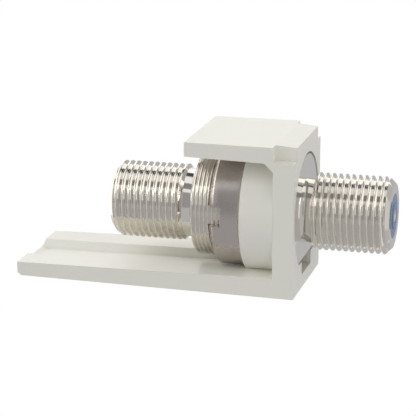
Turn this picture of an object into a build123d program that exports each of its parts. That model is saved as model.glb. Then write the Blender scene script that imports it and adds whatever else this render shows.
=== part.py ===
from build123d import *
import os

os.makedirs("parts", exist_ok=True)

# Frame: X runs along the connector axis and points out of the front port, Z is up.
# The origin lies on the axis, in the front face of the housing. All sizes are in mm.

# Ports of the connector: 3/8-32 threads, drawn as plain cylinders at the crest.
PORT_RADIUS = 4.71
THREAD_DEPTH = 0.49
END_CHAMFER = 0.78
FRONT_END = 10.62
FRONT_NECK_END = 0.62
FRONT_NECK_DEPTH = 0.79
REAR_PORT_LENGTH = 9.01
REAR_NECK_LENGTH = 1.65
REAR_THREAD_SLOPE = 0.17

# Middle of the connector: a flange with a flat, and the barrel that carries the ring nut.
BARREL_RADIUS = 6.25
BARREL_TAIL = 2.50
BARREL_CHAMFER = 0.20
FLANGE_LIP = 0.63
FLANGE_FLAT_DEPTH = 1.28
FLANGE_RECESS = 0.10
FLANGE_THICKNESS = 1.60

# Contact and insulators inside the connector.
BORE_RADIUS = 2.69
CONTACT_BORE_RADIUS = 0.60
CONTACT_BORE_DEPTH = 7.00
CONTACT_LEAD_IN = 0.25
CONTACT_RIM = 0.04
CONTACT_SHOULDER = 0.46
CONTACT_RECESS = 0.05
CONTACT_SLIT = 0.30
CONTACT_SLIT_LENGTH = 5.50
COLLAR_WALL = 0.71
COLLAR_HEIGHT = 0.16
ENTRY_DEPTH = 1.10

# Ring nut behind the housing's boss.
NUT_WALL = 0.95
NUT_LENGTH = 3.95
NUT_CHAMFER_LENGTH = 0.60
NUT_CHAMFER_DEPTH = 0.75
NUT_SLOTS = 4
NUT_SLOT_WIDTH = 2.33
NUT_SLOT_LENGTH = 1.58
NUT_TURN = -1.9

# Housing: side outline, a C that is open to the rear.
WALL_THICKNESS = 2.55
TOP_LENGTH = 13.38
TOP_CLEARANCE = 0.15
TOP_THICKNESS_FRONT = 1.95
TOP_THICKNESS_REAR = 1.745
TAB_DROP = 0.23
GUSSET = 1.05
ARM_LENGTH = 34.85
ARM_THICKNESS = 2.47
ARM_TOP_DROP = 0.566
ARM_CHAMFER_LENGTH = 0.43
ARM_CHAMFER_HEIGHT = 0.39
BOTTOM_RISE = 0.205

# Housing: plan outline and the two notches at the top of the front.
SIDE_WALL = 0.55
SIDE_DRAFT = 0.0151
NOTCH_LENGTH = 2.57
NOTCH_WIDTH = 1.61
NOTCH_HEIGHT = 1.84

# Housing: boss, D-shaped seat and the slot below it.
BOSS_WALL = 1.36
BOSS_DRAFT = 0.08
BOSS_LENGTH = 4.10
SEAT_CLEARANCE = 0.25
BARREL_CLEARANCE = 0.10
FLAT_CLEARANCE = 0.20
SILL_HEIGHT = 0.80
SLOT_HALF_WIDTH = 2.65

# Housing: channel along the top of the arm.
CHANNEL_SPREAD = 0.0187
CHANNEL_WALL_RUN = 1.00
CHANNEL_WALL_DEPTH = 0.58
CHANNEL_POCKET_DEPTH = 0.28
CHANNEL_RAMP = 0.55

# How far an outline that is cut away runs past the solid.
CUT_MARGIN = 1.00

# Radii and heights that follow from those above, from the axis outward.
contact_funnel = CONTACT_BORE_RADIUS + CONTACT_LEAD_IN
entry_radius = contact_funnel + CONTACT_RIM
contact_radius = entry_radius + CONTACT_SHOULDER
collar_radius = entry_radius + COLLAR_WALL
root_radius = PORT_RADIUS - THREAD_DEPTH
front_neck_radius = PORT_RADIUS - FRONT_NECK_DEPTH
flange_radius = BARREL_RADIUS + FLANGE_LIP
flange_flat = FLANGE_FLAT_DEPTH - flange_radius
nut_radius = BARREL_RADIUS + NUT_WALL
seat_radius = flange_radius + SEAT_CLEARANCE
seat_flat = flange_flat - FLAT_CLEARANCE
barrel_bore = BARREL_RADIUS + BARREL_CLEARANCE
boss_radius_rear = barrel_bore + BOSS_WALL
boss_radius_front = boss_radius_rear + BOSS_DRAFT
half_width_front = seat_radius + SIDE_WALL
top_underside = nut_radius + TOP_CLEARANCE
top = top_underside + TOP_THICKNESS_FRONT
arm_top_front = seat_flat - SILL_HEIGHT
bottom_front = arm_top_front - ARM_THICKNESS
arm_slope = ARM_TOP_DROP / ARM_LENGTH
channel_depth = CHANNEL_WALL_DEPTH + CHANNEL_POCKET_DEPTH

# Stations along X, from the front to the rear.
collar_face = FRONT_END + COLLAR_HEIGHT
contact_tip = collar_face - CONTACT_RECESS
entry_floor = FRONT_END - ENTRY_DEPTH
flange_front = -FLANGE_RECESS
flange_rear = flange_front - FLANGE_THICKNESS
boss_rear = -WALL_THICKNESS - BOSS_LENGTH
nut_rear = boss_rear - NUT_LENGTH
barrel_end = nut_rear - BARREL_TAIL
rear_thread_end = barrel_end - REAR_NECK_LENGTH
rear_end = rear_thread_end - REAR_PORT_LENGTH
middle = (FRONT_END + rear_end) / 2


def half_width(x):
    """Half of the housing's width at a station along X."""
    return half_width_front + SIDE_DRAFT * x


def channel_half_width(x):
    """Half of the channel's width at the rails' tops, at a station along X."""
    return SLOT_HALF_WIDTH - CHANNEL_SPREAD * x


def bottom_height(x):
    """Height of the housing's underside at a station along X."""
    return bottom_front - BOTTOM_RISE * x / ARM_LENGTH


def arm_top(x):
    """Height of the rails' tops at a station along X."""
    return arm_top_front + arm_slope * x


rail_plane = Plane(
    origin=(0, 0, arm_top_front),
    x_dir=(1, 0, arm_slope),
    z_dir=(-arm_slope, 0, 1),
)


def channel_outline(rear, widening):
    """Corners of the channel in plan, from the wall back to the given station."""
    front_half = channel_half_width(-WALL_THICKNESS) + widening
    rear_half = channel_half_width(rear) + widening
    return [
        (-WALL_THICKNESS, -front_half),
        (-WALL_THICKNESS, front_half),
        (rear, rear_half),
        (rear, -rear_half),
    ]


with BuildPart() as housing:
    # Side outline, drawn once and given the whole width.
    with BuildSketch(Plane.XZ):
        with BuildLine():
            Polyline(
                (0, bottom_front),
                (-ARM_LENGTH + ARM_CHAMFER_LENGTH, bottom_height(-ARM_LENGTH + ARM_CHAMFER_LENGTH)),
                (-ARM_LENGTH, bottom_height(-ARM_LENGTH) + ARM_CHAMFER_HEIGHT),
                (-ARM_LENGTH, arm_top(-ARM_LENGTH)),
                (-WALL_THICKNESS, arm_top(-WALL_THICKNESS)),
                (-WALL_THICKNESS, top_underside - GUSSET),
                (-WALL_THICKNESS - GUSSET, top_underside),
                (-TOP_LENGTH, top - TOP_THICKNESS_REAR),
                (-TOP_LENGTH, top),
                (-NOTCH_LENGTH, top),
                (0, top - TAB_DROP),
                close=True,
            )
        make_face()
    extrude(amount=half_width_front + CUT_MARGIN, both=True)

    # Sides that draw together toward the rear.
    with BuildSketch(Plane.XY):
        with BuildLine():
            Polyline(
                (0, -half_width(0)),
                (0, half_width(0)),
                (-ARM_LENGTH, half_width(-ARM_LENGTH)),
                (-ARM_LENGTH, -half_width(-ARM_LENGTH)),
                close=True,
            )
        make_face()
    extrude(amount=top + CUT_MARGIN, both=True, mode=Mode.INTERSECT)

    # Channel between the rails: sloped walls, then a pocket with a ramp at the rear.
    widening = CUT_MARGIN * CHANNEL_WALL_RUN / CHANNEL_WALL_DEPTH
    with BuildSketch(rail_plane.offset(CUT_MARGIN)):
        with BuildLine():
            Polyline(*channel_outline(-ARM_LENGTH - CUT_MARGIN, widening), close=True)
        make_face()
    with BuildSketch(rail_plane.offset(-CHANNEL_WALL_DEPTH)):
        with BuildLine():
            Polyline(*channel_outline(-ARM_LENGTH - CUT_MARGIN, -CHANNEL_WALL_RUN), close=True)
        make_face()
    loft(mode=Mode.SUBTRACT)
    with BuildSketch(rail_plane.offset(-CHANNEL_WALL_DEPTH)):
        with BuildLine():
            Polyline(*channel_outline(-ARM_LENGTH, -CHANNEL_WALL_RUN), close=True)
        make_face()
    with BuildSketch(rail_plane.offset(-channel_depth)):
        with BuildLine():
            Polyline(
                *channel_outline(-ARM_LENGTH + CHANNEL_RAMP, -CHANNEL_WALL_RUN - CHANNEL_POCKET_DEPTH),
                close=True,
            )
        make_face()
    loft(mode=Mode.SUBTRACT)

    # Notches at both top corners of the front.
    with BuildSketch(Plane.XY.offset(top - NOTCH_HEIGHT)):
        for side in (-1, 1):
            with Locations((-NOTCH_LENGTH / 2, side * half_width_front)):
                Rectangle(NOTCH_LENGTH, 2 * NOTCH_WIDTH)
    extrude(amount=NOTCH_HEIGHT + CUT_MARGIN, mode=Mode.SUBTRACT)

    # Boss behind the wall.
    with BuildSketch(Plane.XZ):
        with BuildLine():
            Polyline(
                (-WALL_THICKNESS, 0),
                (-WALL_THICKNESS, boss_radius_front),
                (boss_rear, boss_radius_rear),
                (boss_rear, 0),
                close=True,
            )
        make_face()
    revolve(axis=Axis.X)

    # D-shaped seat for the flange, and the bore for the threaded barrel.
    with BuildSketch(Plane.YZ):
        Circle(seat_radius)
        with Locations((0, seat_flat - seat_radius)):
            Rectangle(2 * seat_radius, 2 * seat_radius, mode=Mode.SUBTRACT)
    extrude(amount=flange_rear, mode=Mode.SUBTRACT)
    with BuildSketch(Plane.YZ):
        Circle(barrel_bore)
    extrude(amount=boss_rear, mode=Mode.SUBTRACT)

    # Slot that carries the channel on through the boss and the wall.
    with BuildSketch(Plane.XZ):
        with BuildLine():
            Polyline(
                (0, seat_flat + FLAT_CLEARANCE / 2),
                (boss_rear, seat_flat + FLAT_CLEARANCE / 2),
                (boss_rear, arm_top(boss_rear) - channel_depth),
                (0, arm_top(0) - channel_depth),
                close=True,
            )
        make_face()
    extrude(amount=SLOT_HALF_WIDTH, both=True, mode=Mode.SUBTRACT)

housing.part.label = "housing"
export_step(housing.part, "parts/housing.step")


with BuildPart() as connector_body:
    # One turned profile from the rear end to the front end.
    with BuildSketch(Plane.XZ):
        with BuildLine():
            Polyline(
                (rear_end, BORE_RADIUS),
                (rear_end, PORT_RADIUS - END_CHAMFER),
                (rear_end + END_CHAMFER, PORT_RADIUS),
                (rear_thread_end - REAR_THREAD_SLOPE, PORT_RADIUS),
                (rear_thread_end, root_radius),
                (barrel_end, root_radius),
                (barrel_end, BARREL_RADIUS - BARREL_CHAMFER),
                (barrel_end + BARREL_CHAMFER, BARREL_RADIUS),
                (flange_rear, BARREL_RADIUS),
                (flange_rear, flange_radius),
                (flange_front, flange_radius),
                (flange_front, front_neck_radius),
                (FRONT_NECK_END, front_neck_radius),
                (FRONT_NECK_END + FRONT_NECK_DEPTH, PORT_RADIUS),
                (FRONT_END - END_CHAMFER, PORT_RADIUS),
                (FRONT_END, PORT_RADIUS - END_CHAMFER),
                (FRONT_END, BORE_RADIUS),
                close=True,
            )
        make_face()
    revolve(axis=Axis.X)

    # Flat on the flange that keeps the connector from turning.
    with BuildSketch(Plane.YZ.offset(flange_front)):
        with Locations((0, flange_flat - flange_radius)):
            Rectangle(2 * flange_radius, 2 * flange_radius)
    extrude(amount=-FLANGE_THICKNESS, mode=Mode.SUBTRACT)

connector_body.part.label = "connector_body"
export_step(connector_body.part, "parts/connector_body.step")


with BuildPart() as ring_nut:
    with BuildSketch(Plane.XZ):
        with BuildLine():
            Polyline(
                (boss_rear, BARREL_RADIUS),
                (boss_rear, nut_radius),
                (nut_rear + NUT_CHAMFER_LENGTH, nut_radius),
                (nut_rear, nut_radius - NUT_CHAMFER_DEPTH),
                (nut_rear, BARREL_RADIUS),
                close=True,
            )
        make_face()
    revolve(axis=Axis.X)

    # Slots for a spanner, open to the rear.
    with BuildSketch(Plane.YZ.offset(nut_rear)):
        with PolarLocations(nut_radius, NUT_SLOTS, start_angle=NUT_TURN):
            Rectangle(nut_radius, NUT_SLOT_WIDTH)
    extrude(amount=NUT_SLOT_LENGTH, mode=Mode.SUBTRACT)

ring_nut.part.label = "ring_nut"
export_step(ring_nut.part, "parts/ring_nut.step")


with BuildPart() as front_insulator:
    # Half of the lining: a raised collar, a small entry hole, then the pocket for the contact.
    with BuildSketch(Plane.XZ):
        with BuildLine():
            Polyline(
                (middle, contact_radius),
                (middle, BORE_RADIUS),
                (FRONT_END, BORE_RADIUS),
                (FRONT_END, collar_radius),
                (collar_face, collar_radius),
                (collar_face, entry_radius),
                (entry_floor, entry_radius),
                (entry_floor, contact_radius),
                close=True,
            )
        make_face()
    revolve(axis=Axis.X)

front_insulator.part.label = "front_insulator"
export_step(front_insulator.part, "parts/front_insulator.step")


with BuildPart() as rear_insulator:
    add(front_insulator.part.mirror(Plane.YZ.offset(middle)))

rear_insulator.part.label = "rear_insulator"
export_step(rear_insulator.part, "parts/rear_insulator.step")


with BuildPart() as center_contact:
    # Half of the pin, with a nose in the entry hole and a bore with a lead-in.
    with BuildSketch(Plane.XZ):
        with BuildLine():
            Polyline(
                (middle, 0),
                (middle, contact_radius),
                (entry_floor, contact_radius),
                (entry_floor, entry_radius),
                (contact_tip, entry_radius),
                (contact_tip, contact_funnel),
                (contact_tip - CONTACT_LEAD_IN, CONTACT_BORE_RADIUS),
                (contact_tip - CONTACT_BORE_DEPTH, CONTACT_BORE_RADIUS),
                (contact_tip - CONTACT_BORE_DEPTH, 0),
                close=True,
            )
        make_face()
    revolve(axis=Axis.X)

    # Slit that parts the nose into two springs.
    with BuildSketch(Plane.YZ.offset(contact_tip)):
        Rectangle(CONTACT_SLIT, 3 * contact_radius)
    extrude(amount=-CONTACT_SLIT_LENGTH, mode=Mode.SUBTRACT)

    # The rear half is the same.
    mirror(about=Plane.YZ.offset(middle))

center_contact.part.label = "center_contact"
export_step(center_contact.part, "parts/center_contact.step")
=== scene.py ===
"""Visual model of a coaxial coupler that is held in a snap-in housing.

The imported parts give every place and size. Lengths in this file are in millimetres and
become metres where Blender is called. X runs along the connector's axis and points out of
the front port, and Z is up.
"""

import logging
import math
from collections.abc import Callable, Sequence
from dataclasses import dataclass
from enum import Enum
from itertools import pairwise

import bpy
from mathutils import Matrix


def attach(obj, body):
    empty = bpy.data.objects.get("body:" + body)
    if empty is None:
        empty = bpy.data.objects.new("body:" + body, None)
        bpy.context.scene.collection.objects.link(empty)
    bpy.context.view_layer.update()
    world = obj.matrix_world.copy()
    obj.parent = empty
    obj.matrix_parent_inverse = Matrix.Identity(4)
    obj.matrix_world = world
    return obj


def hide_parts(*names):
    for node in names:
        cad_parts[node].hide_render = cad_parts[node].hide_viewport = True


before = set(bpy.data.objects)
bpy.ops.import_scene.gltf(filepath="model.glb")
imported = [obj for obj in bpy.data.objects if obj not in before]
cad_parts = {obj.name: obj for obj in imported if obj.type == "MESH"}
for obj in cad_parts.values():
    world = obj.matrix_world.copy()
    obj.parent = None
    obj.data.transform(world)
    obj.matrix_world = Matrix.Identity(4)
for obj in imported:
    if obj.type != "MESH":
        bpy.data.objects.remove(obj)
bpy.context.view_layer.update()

MM = 0.001
# Flat sides in a full turn.
FACETS = 96
MERGE_DISTANCE = 0.0005
# How far a tool stands past what it cuts: well clear of it, or just over its face.
CLEAR = 1.0
SKIN = 0.001
# Edges sharper than the first angle are rounded. Those sharper than the second are shaded crisp.
ROUNDED_ANGLE = math.radians(28)
CRISP_ANGLE = math.radians(34)
# Slope of the flanks of the nut's thread, which stand at 60 degrees to each other.
FLANK_SLOPE = math.tan(math.radians(30))
# Most of what a noise node gives lies between these values.
NOISE_LOW, NOISE_HIGH = 0.3, 0.7
# Sockets of a Mix node that mixes colours.
FACTOR, FIRST, SECOND, MIXED = 0, 6, 7, 2

Point = tuple[float, float]
Span = tuple[float, float]
Colour = tuple[float, float, float, float]
Tree = bpy.types.NodeTree
Socket = bpy.types.NodeSocket

log = logging.getLogger("coupler")


class End(Enum):
    """The two ends of the connector, with the sign of X that points out of each."""

    FRONT = 1
    REAR = -1


# ---- modelling ----


def deselect() -> None:
    """Leaves edit mode and clears the selection."""
    if bpy.context.mode != "OBJECT":
        bpy.ops.object.mode_set(mode="OBJECT")
    bpy.ops.object.select_all(action="DESELECT")


def pick(piece: bpy.types.Object) -> None:
    """Makes one piece the only selected and active one.

    Args:
        piece: The object to pick.
    """
    deselect()
    piece.select_set(True)
    bpy.context.view_layer.objects.active = piece


def edit(piece: bpy.types.Object, *steps: Callable[[], object]) -> None:
    """Runs operators on all of a piece's mesh in edit mode.

    Args:
        piece: The object to edit.
        steps: Calls without arguments, in order.
    """
    pick(piece)
    bpy.ops.object.mode_set(mode="EDIT")
    bpy.ops.mesh.select_all(action="SELECT")
    for step in steps:
        step()
    bpy.ops.object.mode_set(mode="OBJECT")


def merge_doubles() -> None:
    """Merges selected vertices that lie on each other."""
    bpy.ops.mesh.remove_doubles(threshold=MERGE_DISTANCE * MM)


def face_outwards() -> None:
    """Turns the selected faces outwards."""
    bpy.ops.mesh.normals_make_consistent(inside=False)


def apply_modifier(piece: bpy.types.Object, kind: str, **settings: object) -> None:
    """Adds a modifier to a piece and applies it.

    Args:
        piece: The object that gets the modifier.
        kind: Blender's name of the modifier.
        settings: The modifier's settings by name.
    """
    modifier = piece.modifiers.new(kind.lower(), kind)
    for name, value in settings.items():
        setattr(modifier, name, value)
    pick(piece)
    bpy.ops.object.modifier_apply(modifier=modifier.name)


def drawn_outline(name: str, points: Sequence[Point]) -> bpy.types.Object:
    """Draws a closed line over the axis, one vertex after the other.

    Args:
        name: Name of the new object.
        points: Corners as (x, height over the axis).

    Returns:
        The line, in the plane y = 0.
    """
    deselect()
    bpy.ops.mesh.primitive_plane_add(size=MM)
    outline = bpy.context.object
    outline.name = outline.data.name = name
    bpy.ops.object.mode_set(mode="EDIT")
    bpy.ops.mesh.merge(type="CENTER")
    x, height = points[0]
    bpy.ops.transform.translate(value=(x * MM, 0, height * MM))
    for (x0, z0), (x1, z1) in pairwise([*points, points[0]]):
        bpy.ops.mesh.extrude_region_move(
            TRANSFORM_OT_translate={"value": ((x1 - x0) * MM, 0, (z1 - z0) * MM)}
        )
    bpy.ops.mesh.select_all(action="SELECT")
    merge_doubles()
    bpy.ops.object.mode_set(mode="OBJECT")
    return outline


def turned(name: str, points: Sequence[Point]) -> bpy.types.Object:
    """Turns a closed profile round the axis, as on a lathe.

    Args:
        name: Name of the new piece.
        points: Corners of the profile as (x, radius).

    Returns:
        A closed ring of quads.
    """
    piece = drawn_outline(name, points)
    edit(
        piece,
        lambda: bpy.ops.mesh.spin(
            steps=FACETS, angle=math.tau, center=(0, 0, 0), axis=(1, 0, 0)
        ),
        lambda: bpy.ops.mesh.select_all(action="SELECT"),
        merge_doubles,
        face_outwards,
    )
    return piece


def soften_edges(piece: bpy.types.Object, width: float, segments: int = 2) -> None:
    """Rounds every sharp edge of a piece.

    Args:
        piece: The object to round.
        width: Width of the rounding.
        segments: Steps across the rounding.
    """
    apply_modifier(
        piece, "BEVEL", width=width * MM, segments=segments, limit_method="ANGLE",
        angle_limit=ROUNDED_ANGLE, use_clamp_overlap=True, miter_outer="MITER_ARC",
    )


def carve(piece: bpy.types.Object, *tools: bpy.types.Object) -> None:
    """Takes the shape of each tool out of a piece, and removes the tools.

    Args:
        piece: The object to cut.
        tools: Closed objects in place.
    """
    for tool in tools:
        apply_modifier(piece, "BOOLEAN", operation="DIFFERENCE", object=tool, solver="EXACT")
        bpy.data.objects.remove(tool)


def cutting_block(corner: Sequence[float], opposite: Sequence[float]) -> bpy.types.Object:
    """Adds a block to cut with.

    Args:
        corner: One corner.
        opposite: The corner opposite to it.

    Returns:
        The block.
    """
    deselect()
    centre = [(a + b) / 2 * MM for a, b in zip(corner, opposite)]
    bpy.ops.mesh.primitive_cube_add(size=1, location=centre)
    block = bpy.context.object
    block.dimensions = [abs(b - a) * MM for a, b in zip(corner, opposite)]
    bpy.ops.object.transform_apply(location=True, rotation=True, scale=True)
    return block


def hand_over(piece: bpy.types.Object, slot: str, finish: "Finish", *nodes: str) -> None:
    """Smooths and dresses a finished piece, and puts it in the place of its CAD nodes.

    Weighted normals keep large faces flat up to their rounded edges.

    Args:
        piece: The finished mesh.
        slot: Not used.
        finish: What the surface is.
        nodes: CAD nodes that the piece stands for.
    """
    edit(piece, merge_doubles)
    pick(piece)
    bpy.ops.object.shade_smooth_by_angle(angle=CRISP_ANGLE)
    apply_modifier(piece, "WEIGHTED_NORMAL", keep_sharp=True, weight=80)
    piece.data.materials.clear()
    piece.data.materials.append(finish.material())
    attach(piece, "root")
    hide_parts(*nodes)
    log.info("%s: %d faces, %s", piece.name, len(piece.data.polygons), finish.name)


# ---- finishes ----


def linear(hex_colour: str) -> Colour:
    """Turns an sRGB hex colour into linear light.

    Args:
        hex_colour: Six hex digits after a hash.

    Returns:
        Linear red, green and blue, and full alpha.
    """
    values = [int(hex_colour[i : i + 2], 16) / 255 for i in (1, 3, 5)]
    light = [v / 12.92 if v <= 0.04045 else ((v + 0.055) / 1.055) ** 2.4 for v in values]
    return (*light, 1.0)


def add_node(
    tree: Tree, kind: str, inputs: dict[object, object] | None = None, **settings: object
) -> bpy.types.Node:
    """Adds one node with its settings, values and links.

    Args:
        tree: The node tree.
        kind: Blender's name of the node type.
        inputs: Values by input name or number, where an output socket makes a link.
        settings: The node's own settings by name.

    Returns:
        The new node.
    """
    node = tree.nodes.new(kind)
    for name, value in settings.items():
        setattr(node, name, value)
    for name, value in (inputs or {}).items():
        if isinstance(value, Socket):
            tree.links.new(value, node.inputs[name])
        else:
            node.inputs[name].default_value = value
    return node


@dataclass(frozen=True)
class Finish:
    """What a surface is made of. Kinds of finish add their own nodes."""

    name: str
    colour: str
    roughness: float

    def material(self) -> bpy.types.Material:
        """Makes the material, or finds it where it is made already.

        Returns:
            The material.
        """
        made = bpy.data.materials.get(self.name)
        if made:
            return made
        made = bpy.data.materials.new(self.name)
        made.use_nodes = True
        tree = made.node_tree
        shader = tree.nodes["Principled BSDF"]
        shader.inputs["Base Color"].default_value = linear(self.colour)
        shader.inputs["Roughness"].default_value = self.roughness
        place = add_node(tree, "ShaderNodeTexCoord").outputs["Object"]
        self.draw(tree, shader, place)
        return made

    def draw(self, tree: Tree, shader: bpy.types.Node, place: Socket) -> None:
        """Adds this finish's own nodes.

        Args:
            tree: The material's nodes.
            shader: Its surface shader.
            place: Object coordinates, in metres.
        """
        raise NotImplementedError


@dataclass(frozen=True)
class MouldedPlastic(Finish):
    """Moulded plastic: soft cloudy tone and the fine grain of the mould."""

    deep_colour: str
    cloud_size: float
    grain_size: float
    grain_depth: float
    ior: float = 1.53

    def draw(self, tree: Tree, shader: bpy.types.Node, place: Socket) -> None:
        """Draws the cloudy tone and the grain.

        Args:
            tree: The material's nodes.
            shader: Its surface shader.
            place: Object coordinates, in metres.
        """
        shader.inputs["IOR"].default_value = self.ior
        cloud = add_node(
            tree, "ShaderNodeTexNoise",
            {"Vector": place, "Scale": 1 / (self.cloud_size * MM), "Detail": 3.0},
        )
        tone = add_node(
            tree, "ShaderNodeMix",
            {
                FACTOR: cloud.outputs["Fac"],
                FIRST: linear(self.colour),
                SECOND: linear(self.deep_colour),
            },
            data_type="RGBA",
        )
        tree.links.new(tone.outputs[MIXED], shader.inputs["Base Color"])
        grain = add_node(
            tree, "ShaderNodeTexNoise",
            {"Vector": place, "Scale": 1 / (self.grain_size * MM), "Detail": 2.0},
        )
        bump = add_node(
            tree, "ShaderNodeBump",
            {"Height": grain.outputs["Fac"], "Distance": self.grain_depth * MM, "Strength": 1.0},
        )
        tree.links.new(bump.outputs["Normal"], shader.inputs["Normal"])


@dataclass(frozen=True)
class TurnedMetal(Finish):
    """Plated metal that was turned: fine rings round the axis under the plating."""

    line_width: float
    line_depth: float
    roughness_spread: float
    cloud_size: float = 1.5

    def draw(self, tree: Tree, shader: bpy.types.Node, place: Socket) -> None:
        """Draws the turning marks and the uneven gloss of the plating.

        Args:
            tree: The material's nodes.
            shader: Its surface shader.
            place: Object coordinates, in metres.
        """
        shader.inputs["Metallic"].default_value = 1.0
        parts = add_node(tree, "ShaderNodeSeparateXYZ", {"Vector": place})
        lines = add_node(
            tree, "ShaderNodeTexNoise",
            {"W": parts.outputs["X"], "Scale": 1 / (self.line_width * MM), "Detail": 3.0},
            noise_dimensions="1D",
        )
        bump = add_node(
            tree, "ShaderNodeBump",
            {"Height": lines.outputs["Fac"], "Distance": self.line_depth * MM, "Strength": 1.0},
        )
        tree.links.new(bump.outputs["Normal"], shader.inputs["Normal"])
        cloud = add_node(
            tree, "ShaderNodeTexNoise",
            {"Vector": place, "Scale": 1 / (self.cloud_size * MM), "Detail": 2.0},
        )
        rough = add_node(
            tree, "ShaderNodeMapRange",
            {
                "Value": cloud.outputs["Fac"],
                "From Min": NOISE_LOW,
                "From Max": NOISE_HIGH,
                "To Min": self.roughness - self.roughness_spread,
                "To Max": self.roughness + self.roughness_spread,
            },
        )
        tree.links.new(rough.outputs["Result"], shader.inputs["Roughness"])


# ABS, moulded in a polished tool: warm off-white, glossy enough to mirror what stands on it.
HOUSING_ABS = MouldedPlastic(
    "moulded_abs", "#F4F3EA", 0.22,
    deep_colour="#F1F0E7", cloud_size=6, grain_size=0.25, grain_depth=0.001,
)
# Bright nickel on brass: a clear, slightly warm mirror with faint turning marks.
BRIGHT_NICKEL = TurnedMetal(
    "bright_nickel_plate", "#E9E5DE", 0.07,
    line_width=0.09, line_depth=0.00005, roughness_spread=0.02,
)
# Satin nickel on brass: darker and browner, with rings that blur what it mirrors.
SATIN_NICKEL = TurnedMetal(
    "satin_nickel_plate", "#C4BCB7", 0.28,
    line_width=0.35, line_depth=0.002, roughness_spread=0.02,
)
# Acetal insulator, dyed blue: matt, with a slightly uneven dye.
BLUE_ACETAL = MouldedPlastic(
    "blue_acetal", "#7F92B4", 0.42,
    deep_colour="#7387AA", cloud_size=0.9, grain_size=0.12, grain_depth=0.001,
)
# Tin on phosphor bronze: bright and a little yellow.
TIN_PLATE = TurnedMetal(
    "tin_plate", "#D9D4C6", 0.22,
    line_width=0.06, line_depth=0.0003, roughness_spread=0.04,
)


# ---- pieces ----


@dataclass(frozen=True)
class Thread:
    """A right-hand unified thread on the connector's axis.

    It is rolled, so that its crests and roots are round and the flanks between them stand at
    about 60 degrees to each other. The groove's half width, its depth and how far its tool
    rises over the crests are shares of the pitch.
    """

    pitch: float
    crest_radius: float
    crest_station: float
    start: float
    end: float
    half_share: float = 0.47
    depth_share: float = 0.6134
    rise_share: float = 0.05
    flank_steps: int = 8

    @property
    def depth(self) -> float:
        """Height of a crest over the root."""
        return self.depth_share * self.pitch

    def swept(self, name: str, outline: Sequence[Point], first: float) -> bpy.types.Object:
        """Sweeps a closed outline along the helix.

        Args:
            name: Name of the tool.
            outline: Corners as (x from the middle of the outline, radius).
            first: Station of the outline's middle on the top line.

        Returns:
            A closed tool that runs from the first station to the thread's end.
        """
        tool = drawn_outline(name, [(first + x, radius) for x, radius in outline])
        turns = (self.end - first) / self.pitch
        steps = round(turns * FACETS)
        apply_modifier(
            tool, "SCREW", axis="X", angle=math.tau * turns, screw_offset=self.pitch * turns * MM,
            steps=steps, render_steps=steps, use_merge_vertices=True,
            merge_threshold=MERGE_DISTANCE * MM, use_normal_calculate=True,
        )
        edit(
            tool,
            merge_doubles,
            lambda: bpy.ops.mesh.select_all(action="DESELECT"),
            bpy.ops.mesh.select_non_manifold,
            bpy.ops.mesh.edge_face_add,
            lambda: bpy.ops.mesh.select_all(action="SELECT"),
            face_outwards,
        )
        return tool

    def groove(self) -> bpy.types.Object:
        """Makes the tool that cuts this thread's groove.

        Returns:
            The tool.
        """
        half = self.pitch * self.half_share
        top = self.crest_radius + self.rise_share * self.pitch
        middle = self.crest_radius - self.depth / 2
        steps = self.flank_steps
        outline = [(half, top)]
        outline += [
            (half * step / steps, middle - self.depth / 2 * math.cos(math.pi * step / steps))
            for step in range(steps, -steps - 1, -1)
        ]
        outline.append((-half, top))
        return self.swept("groove", outline, self.nearest(self.start, share=0.5))

    def ridge(self, clearance: float) -> bpy.types.Object:
        """Makes the tool that cuts the mating thread into a bore.

        Args:
            clearance: Gap that the mating thread leaves.

        Returns:
            The tool.
        """
        low = self.crest_radius - self.depth + clearance / 2
        high = self.crest_radius + clearance
        half_flat = self.pitch / 16
        foot, tip = (
            half_flat + clearance + (self.crest_radius - radius) * FLANK_SLOPE
            for radius in (low, high)
        )
        outline = [(-foot, low), (-tip, high), (tip, high), (foot, low)]
        return self.swept("ridge", outline, self.nearest(self.start, share=0))

    def nearest(self, station: float, share: float) -> float:
        """Finds the first turn at or before a station.

        Args:
            station: Where to look.
            share: Share of the pitch past a crest.

        Returns:
            The turn's station on the top line.
        """
        offset = self.crest_station + share * self.pitch
        return offset + math.floor((station - offset) / self.pitch) * self.pitch


# Threads at the two ports, and on the barrel under the ring nut. A crest's station is where
# one of the crests passes over the top line.
PORT_PITCH = 0.79375
FRONT_THREAD = Thread(PORT_PITCH, 4.71, crest_station=1.533, start=0.6, end=11.0)
REAR_THREAD = Thread(PORT_PITCH, 4.71, crest_station=-23.076, start=-24.2, end=-15.0)
BARREL_THREAD = Thread(0.51, 6.25, crest_station=-13.015, start=-13.2, end=-6.0)


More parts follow.
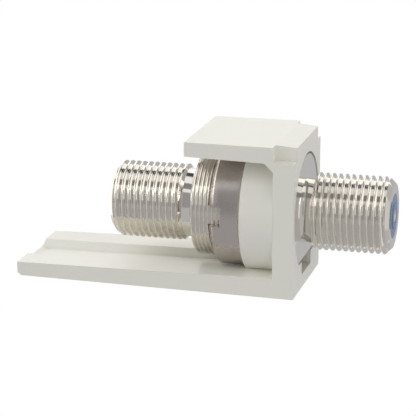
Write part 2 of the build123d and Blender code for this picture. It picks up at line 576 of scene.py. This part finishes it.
@dataclass
class ConnectorBody:
    """The turned body: a threaded port at each end, a flange with a flat, and the barrel."""

    bore_radius: float = 2.69
    port_radius: float = 4.71
    root_radius: float = 4.22
    end_chamfer: float = 0.78
    front_end: float = 10.62
    neck_radius: float = 3.92
    neck_end: float = 1.15
    front_thread_slope: float = 0.14
    flange_front: float = -0.10
    flange_rear: float = -1.70
    flange_radius: float = 6.88
    flange_flat: float = -5.60
    barrel_radius: float = 6.25
    barrel_end: float = -13.10
    barrel_chamfer: float = 0.20
    rear_thread_end: float = -14.67
    rear_thread_slope: float = 0.28
    rear_end: float = -23.76
    edge_rounding: float = 0.035
    threads: tuple[Thread, ...] = (FRONT_THREAD, REAR_THREAD, BARREL_THREAD)

    def profile(self) -> list[Point]:
        """Lists the corners of the turned profile from the rear end to the front end.

        Returns:
            Corners as (x, radius).
        """
        port_edge = self.port_radius - self.end_chamfer
        return [
            (self.rear_end, self.bore_radius),
            (self.rear_end, port_edge),
            (self.rear_end + self.end_chamfer, self.port_radius),
            (self.rear_thread_end - self.rear_thread_slope, self.port_radius),
            (self.rear_thread_end, self.root_radius),
            (self.barrel_end, self.root_radius),
            (self.barrel_end, self.barrel_radius - self.barrel_chamfer),
            (self.barrel_end + self.barrel_chamfer, self.barrel_radius),
            (self.flange_rear, self.barrel_radius),
            (self.flange_rear, self.flange_radius),
            (self.flange_front, self.flange_radius),
            (self.flange_front, self.neck_radius),
            (self.neck_end, self.neck_radius),
            (self.neck_end + self.front_thread_slope, self.port_radius),
            (self.front_end - self.end_chamfer, self.port_radius),
            (self.front_end, port_edge),
            (self.front_end, self.bore_radius),
        ]

    def build(self) -> bpy.types.Object:
        """Turns the body, cuts its flat and chases its threads.

        Returns:
            The finished piece.
        """
        body = turned("threaded_body", self.profile())
        reach = self.flange_radius + CLEAR
        carve(
            body,
            cutting_block(
                (self.flange_rear - SKIN, -reach, -reach),
                (self.flange_front + SKIN, reach, self.flange_flat),
            ),
        )
        soften_edges(body, self.edge_rounding)
        carve(body, *(thread.groove() for thread in self.threads))
        hand_over(body, "nickel_plate", BRIGHT_NICKEL, "connector_body")
        return body


@dataclass
class RingNut:
    """The slotted ring nut, threaded inside in step with the barrel.

    Extra rings stand at the given steps from the slots' ends. They keep the shading of the
    long outer faces even.
    """

    front: float = -6.65
    rear: float = -10.60
    outer_radius: float = 7.20
    bore_radius: float = 5.98
    front_chamfer: float = 0.25
    chamfer_length: float = 0.60
    chamfer_depth: float = 0.75
    slots: int = 4
    slot_width: float = 2.33
    slot_length: float = 1.58
    ring_steps: tuple[float, ...] = (1.2, 0.6, 0.15, -0.15)
    turn: float = -1.9
    edge_rounding: float = 0.04
    thread_clearance: float = 0.02

    def profile(self) -> list[Point]:
        """Lists the corners of the ring's profile from the bore's front over the outside.

        Returns:
            Corners as (x, radius).
        """
        slot_end = self.rear + self.slot_length
        return [
            (self.front, self.bore_radius),
            (self.front, self.outer_radius - self.front_chamfer),
            (self.front - self.front_chamfer, self.outer_radius),
            *((slot_end + step, self.outer_radius) for step in self.ring_steps),
            (self.rear + self.chamfer_length, self.outer_radius),
            (self.rear, self.outer_radius - self.chamfer_depth),
            (self.rear, self.bore_radius),
        ]

    def slot_tools(self) -> list[bpy.types.Object]:
        """Makes one tool for a spanner slot and copies it round the axis.

        Returns:
            The tools.
        """
        half = self.slot_width / 2
        tools = [
            cutting_block(
                (self.rear - CLEAR, self.bore_radius - CLEAR, -half),
                (self.rear + self.slot_length, self.outer_radius + CLEAR, half),
            )
        ]
        tools += [self.copy_of(tools[0]) for _ in range(1, self.slots)]
        for number, tool in enumerate(tools):
            angle = math.radians(self.turn + 360 * number / self.slots)
            edit(
                tool,
                lambda: bpy.ops.transform.rotate(
                    value=-angle, orient_axis="X", center_override=(0, 0, 0)
                ),
            )
        return tools

    @staticmethod
    def copy_of(tool: bpy.types.Object) -> bpy.types.Object:
        """Copies a tool with its own mesh.

        Args:
            tool: The object to copy.

        Returns:
            The copy.
        """
        pick(tool)
        bpy.ops.object.duplicate(linked=False)
        return bpy.context.object

    def build(self) -> bpy.types.Object:
        """Turns the ring, cuts its slots and its thread.

        Returns:
            The finished piece.
        """
        nut = turned("slotted_ring_nut", self.profile())
        carve(nut, *self.slot_tools())
        soften_edges(nut, self.edge_rounding)
        carve(nut, BARREL_THREAD.ridge(self.thread_clearance))
        hand_over(nut, "satin_nickel", SATIN_NICKEL, "ring_nut")
        return nut


@dataclass
class Insulator:
    """Half of the blue lining, with a raised collar round its entry hole."""

    end: End
    middle: float = -6.57
    half_length: float = 17.19
    bore_radius: float = 2.69
    contact_radius: float = 1.35
    entry_radius: float = 0.89
    collar_radius: float = 1.60
    collar_height: float = 0.16
    entry_depth: float = 1.10
    edge_rounding: float = 0.05

    def build(self) -> bpy.types.Object:
        """Turns the lining.

        Returns:
            The finished piece.
        """
        side = self.end.name.lower()
        profile = [
            (0, self.contact_radius),
            (0, self.bore_radius),
            (self.half_length, self.bore_radius),
            (self.half_length, self.collar_radius),
            (self.half_length + self.collar_height, self.collar_radius),
            (self.half_length + self.collar_height, self.entry_radius),
            (self.half_length - self.entry_depth, self.entry_radius),
            (self.half_length - self.entry_depth, self.contact_radius),
        ]
        lining = turned(
            f"{side}_lining", [(self.middle + self.end.value * x, radius) for x, radius in profile]
        )
        soften_edges(lining, self.edge_rounding)
        hand_over(lining, "insulator_blue", BLUE_ACETAL, f"{side}_insulator")
        return lining


@dataclass
class SpringContact:
    """The pin on the axis, bored and slit at both ends to grip a cable's centre wire."""

    middle: float = -6.57
    half_length: float = 17.30
    radius: float = 1.35
    nose_radius: float = 0.89
    nose_length: float = 1.21
    funnel_radius: float = 0.85
    bore_radius: float = 0.60
    bore_depth: float = 7.0
    slit_width: float = 0.30
    slit_length: float = 5.50
    edge_rounding: float = 0.03

    def half_profile(self) -> list[Point]:
        """Lists the corners from the bottom of the bore, over the nose, to the middle.

        Returns:
            Corners as (distance from the middle, radius).
        """
        tip = self.half_length
        return [
            (tip - self.bore_depth, 0.0),
            (tip - self.bore_depth, self.bore_radius),
            (tip - self.funnel_radius + self.bore_radius, self.bore_radius),
            (tip, self.funnel_radius),
            (tip, self.nose_radius),
            (tip - self.nose_length, self.nose_radius),
            (tip - self.nose_length, self.radius),
        ]

    def build(self) -> bpy.types.Object:
        """Turns the pin and slits both noses.

        Returns:
            The finished piece.
        """
        half = self.half_profile()
        profile = [(self.middle - x, radius) for x, radius in half]
        profile += [(self.middle + x, radius) for x, radius in reversed(half)]
        pin = turned("spring_contact", profile)
        half_width, half_height = self.slit_width / 2, 2 * self.radius
        slits = []
        for end in End:
            bottom = self.middle + end.value * (self.half_length - self.slit_length)
            mouth = self.middle + end.value * (self.half_length + CLEAR)
            slits.append(
                cutting_block((bottom, -half_width, -half_height), (mouth, half_width, half_height))
            )
        carve(pin, *slits)
        hand_over(pin, "contact_plate", TIN_PLATE, "center_contact")
        return pin


@dataclass
class Housing:
    """The moulded housing, with the small radii that a mould leaves on its edges."""

    flat_angle: float = 0.5
    edge_rounding: float = 0.10

    def build(self) -> bpy.types.Object:
        """Copies the CAD shape, joins its faces and rounds its edges.

        Returns:
            The finished piece.
        """
        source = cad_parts["housing"]
        pick(source)
        bpy.ops.object.duplicate(linked=False)
        shell = bpy.context.object
        for key in list(shell.keys()):
            del shell[key]
        shell.parent = None
        shell.name = shell.data.name = "moulded_housing"
        bpy.ops.mesh.customdata_custom_splitnormals_clear()
        edit(
            shell,
            merge_doubles,
            lambda: bpy.ops.mesh.dissolve_limited(angle_limit=math.radians(self.flat_angle)),
        )
        soften_edges(shell, self.edge_rounding)
        hand_over(shell, "housing_plastic", HOUSING_ABS, "housing")
        return shell


# ---- studio ----


def within(
    tree: Tree, value: Socket, half: float, soft: float
) -> Socket:
    """Makes a mask that is 1 where a value lies within half of zero, with soft edges.

    Args:
        tree: The node tree.
        value: The value's socket.
        half: Half of the span.
        soft: How far the edge fades to each side.

    Returns:
        The mask's socket.
    """
    size = add_node(tree, "ShaderNodeMath", {0: value}, operation="ABSOLUTE").outputs[0]
    return add_node(
        tree, "ShaderNodeMapRange",
        {"Value": size, "From Min": half + soft, "From Max": half - soft},
        interpolation_type="SMOOTHSTEP",
    ).outputs["Result"]


@dataclass(frozen=True)
class Softbox:
    """A far light or a dark flag with soft edges, hung along the object.

    Its roll is the angle about X, from +Y over +Z, and its reach is the X part of its direction.
    """

    name: str
    tint: str
    strength: float
    roll: Span
    reach: Span
    edge: float

    def colour(self) -> Colour:
        """Gives the light's colour at its strength."""
        red, green, blue, alpha = linear(self.tint)
        return (red * self.strength, green * self.strength, blue * self.strength, alpha)

    def mask(
        self, tree: Tree, roll: Socket, reach: Socket
    ) -> Socket:
        """Makes a mask that is 1 inside the light.

        Args:
            tree: The world's nodes.
            roll: Angle about X of the direction, in radians.
            reach: X part of the direction.

        Returns:
            The mask's socket.
        """
        low, high = (math.radians(angle) for angle in self.roll)
        soft = math.radians(self.edge)
        turn = add_node(
            tree, "ShaderNodeMath", {0: roll, 1: (low + high) / 2}, operation="SUBTRACT"
        ).outputs[0]
        turn = add_node(
            tree, "ShaderNodeMath", {0: turn, 1: math.pi, 2: -math.pi}, operation="WRAP"
        ).outputs[0]
        across = within(tree, turn, (high - low) / 2, soft)
        middle = sum(self.reach) / 2
        shift = add_node(
            tree, "ShaderNodeMath", {0: reach, 1: middle}, operation="SUBTRACT"
        ).outputs[0]
        lengthwise = within(tree, shift, self.reach[1] - middle, soft)
        return add_node(
            tree, "ShaderNodeMath", {0: across, 1: lengthwise}, operation="MULTIPLY"
        ).outputs[0]


# Lights and dark flags as they hang in the metal's reflections, with roll and edge in degrees.
# A later one lies over those before it.
SOFTBOXES = (
    Softbox("back_left", "#FFFAF6", 1.30, (-60, 18), (-1.10, -0.50), 3),
    Softbox("back_low", "#FFFDFA", 0.95, (-60, 18), (-0.50, -0.03), 3),
    Softbox("back_right", "#FFFFFA", 0.80, (-60, 18), (0.60, 1.10), 3),
    Softbox("left_rear_key", "#FFFFFA", 6.00, (22, 50), (-1.10, -0.87), 3),
    Softbox("left_upper", "#FFFAEE", 3.60, (50, 80), (-0.88, -0.72), 3),
    Softbox("left_key", "#FFFFF6", 4.00, (82, 134), (-1.10, -0.87), 3),
    Softbox("left_side", "#FFFFFA", 2.20, (80, 135), (-0.88, -0.70), 3),
    Softbox("left_mid", "#FFFFFF", 1.50, (50, 172), (-0.71, -0.50), 3),
    Softbox("left_dark", "#6C6C6A", 1.00, (174, 300), (-1.10, -0.86), 3),
    Softbox("right_mid", "#FFFDF8", 1.10, (60, 118), (0.71, 0.92), 3),
    Softbox("right_key", "#FFFFFC", 2.20, (118, 147), (0.50, 0.92), 3),
    Softbox("right_inner", "#FFFDFA", 1.20, (147, 200), (0.50, 0.72), 3),
    Softbox("right_front", "#D4D4D4", 1.00, (149, 200), (0.72, 0.92), 3),
    Softbox("right_end", "#DADADC", 1.00, (-190, 190), (0.91, 1.10), 2),
    Softbox("right_dark", "#202020", 1.00, (60, 116), (0.50, 0.70), 2),
    Softbox("back_strip", "#FFFFFF", 1.40, (20, 51), (-0.50, 0.50), 2),
    Softbox("gap_back_left", "#505050", 1.00, (52, 70), (-0.50, 0.00), 2),
    Softbox("gap_back_right", "#585858", 1.00, (65, 72), (0.00, 0.50), 2),
    Softbox("over", "#FFFFFF", 1.00, (74, 100), (-0.50, 0.50), 2),
    Softbox("gap_top", "#8C8C8E", 1.00, (102, 121), (-0.50, 0.50), 2),
    Softbox("near", "#FFFFFF", 0.95, (123, 133), (-0.50, 0.00), 2),
    Softbox("front_grey", "#9E9EA0", 1.00, (136, 185), (-0.50, 0.00), 2),
)


@dataclass
class Studio:
    """Pale floor, soft surrounding light and the camera."""

    floor_height: float = -9.07
    floor_size: float = 6000.0
    lens: float = 156.41
    sensor_width: float = 36.0
    clip_start: float = 10.0
    clip_end: float = 20000.0
    camera_place: tuple[float, float, float] = (42.530, -207.118, 58.004)
    camera_tilt: float = 74.6957
    camera_turn: float = 14.8538
    surround: str = "#BEBEC0"
    softboxes: tuple[Softbox, ...] = SOFTBOXES

    def build(self) -> None:
        """Sets up the floor, the light and the camera."""
        self.lay_floor()
        self.light()
        self.place_camera()
        bpy.context.scene.view_settings.view_transform = "Standard"

    def lay_floor(self) -> None:
        """Lays a plain white floor under the object. It shows only to the eye, not in the metal."""
        deselect()
        bpy.ops.mesh.primitive_plane_add(
            size=self.floor_size * MM, location=(0, 0, self.floor_height * MM)
        )
        floor = bpy.context.object
        floor.name = "floor"
        floor.visible_diffuse = floor.visible_glossy = floor.visible_shadow = False
        material = bpy.data.materials.new("pale_floor")
        material.use_nodes = True
        tree = material.node_tree
        tree.nodes.clear()
        white = add_node(tree, "ShaderNodeEmission", {"Color": (1, 1, 1, 1), "Strength": 1.0})
        add_node(tree, "ShaderNodeOutputMaterial", {"Surface": white.outputs[0]})
        floor.data.materials.append(material)

    def light(self) -> None:
        """Surrounds the object with soft grey, and hangs the softboxes over it."""
        world = bpy.data.worlds.new("studio")
        bpy.context.scene.world = world
        world.use_nodes = True
        tree = world.node_tree
        tree.nodes.clear()
        direction = add_node(tree, "ShaderNodeTexCoord").outputs["Generated"]
        parts = add_node(tree, "ShaderNodeSeparateXYZ", {"Vector": direction}).outputs
        roll = add_node(
            tree, "ShaderNodeMath", {0: parts["Z"], 1: parts["Y"]}, operation="ARCTAN2"
        ).outputs[0]
        glow = add_node(tree, "ShaderNodeRGB").outputs[0]
        glow.default_value = linear(self.surround)
        for box in self.softboxes:
            glow = add_node(
                tree, "ShaderNodeMix",
                {FACTOR: box.mask(tree, roll, parts["X"]), FIRST: glow, SECOND: box.colour()},
                data_type="RGBA",
            ).outputs[MIXED]
        soft = add_node(tree, "ShaderNodeBackground", {"Color": glow})
        white = add_node(tree, "ShaderNodeBackground", {"Color": (1, 1, 1, 1)})
        eye = add_node(tree, "ShaderNodeLightPath").outputs["Is Camera Ray"]
        mix = add_node(
            tree, "ShaderNodeMixShader", {0: eye, 1: soft.outputs[0], 2: white.outputs[0]}
        )
        add_node(tree, "ShaderNodeOutputWorld", {"Surface": mix.outputs[0]})

    def place_camera(self) -> None:
        """Places the camera and makes it the scene's own."""
        deselect()
        bpy.ops.object.camera_add(
            location=[v * MM for v in self.camera_place],
            rotation=(math.radians(self.camera_tilt), 0, math.radians(self.camera_turn)),
        )
        camera = bpy.context.object
        camera.data.lens = self.lens
        camera.data.sensor_width = self.sensor_width
        camera.data.clip_start = self.clip_start * MM
        camera.data.clip_end = self.clip_end * MM
        bpy.context.scene.camera = camera


def main() -> None:
    """Builds the pieces, then the studio round them."""
    logging.basicConfig(level=logging.INFO, format="%(name)s: %(message)s")
    parts = (
        Housing(), ConnectorBody(), RingNut(), Insulator(End.FRONT), Insulator(End.REAR),
        SpringContact(),
    )
    for part in parts:
        part.build()
    Studio().build()


if __name__ == "__main__":
    main()
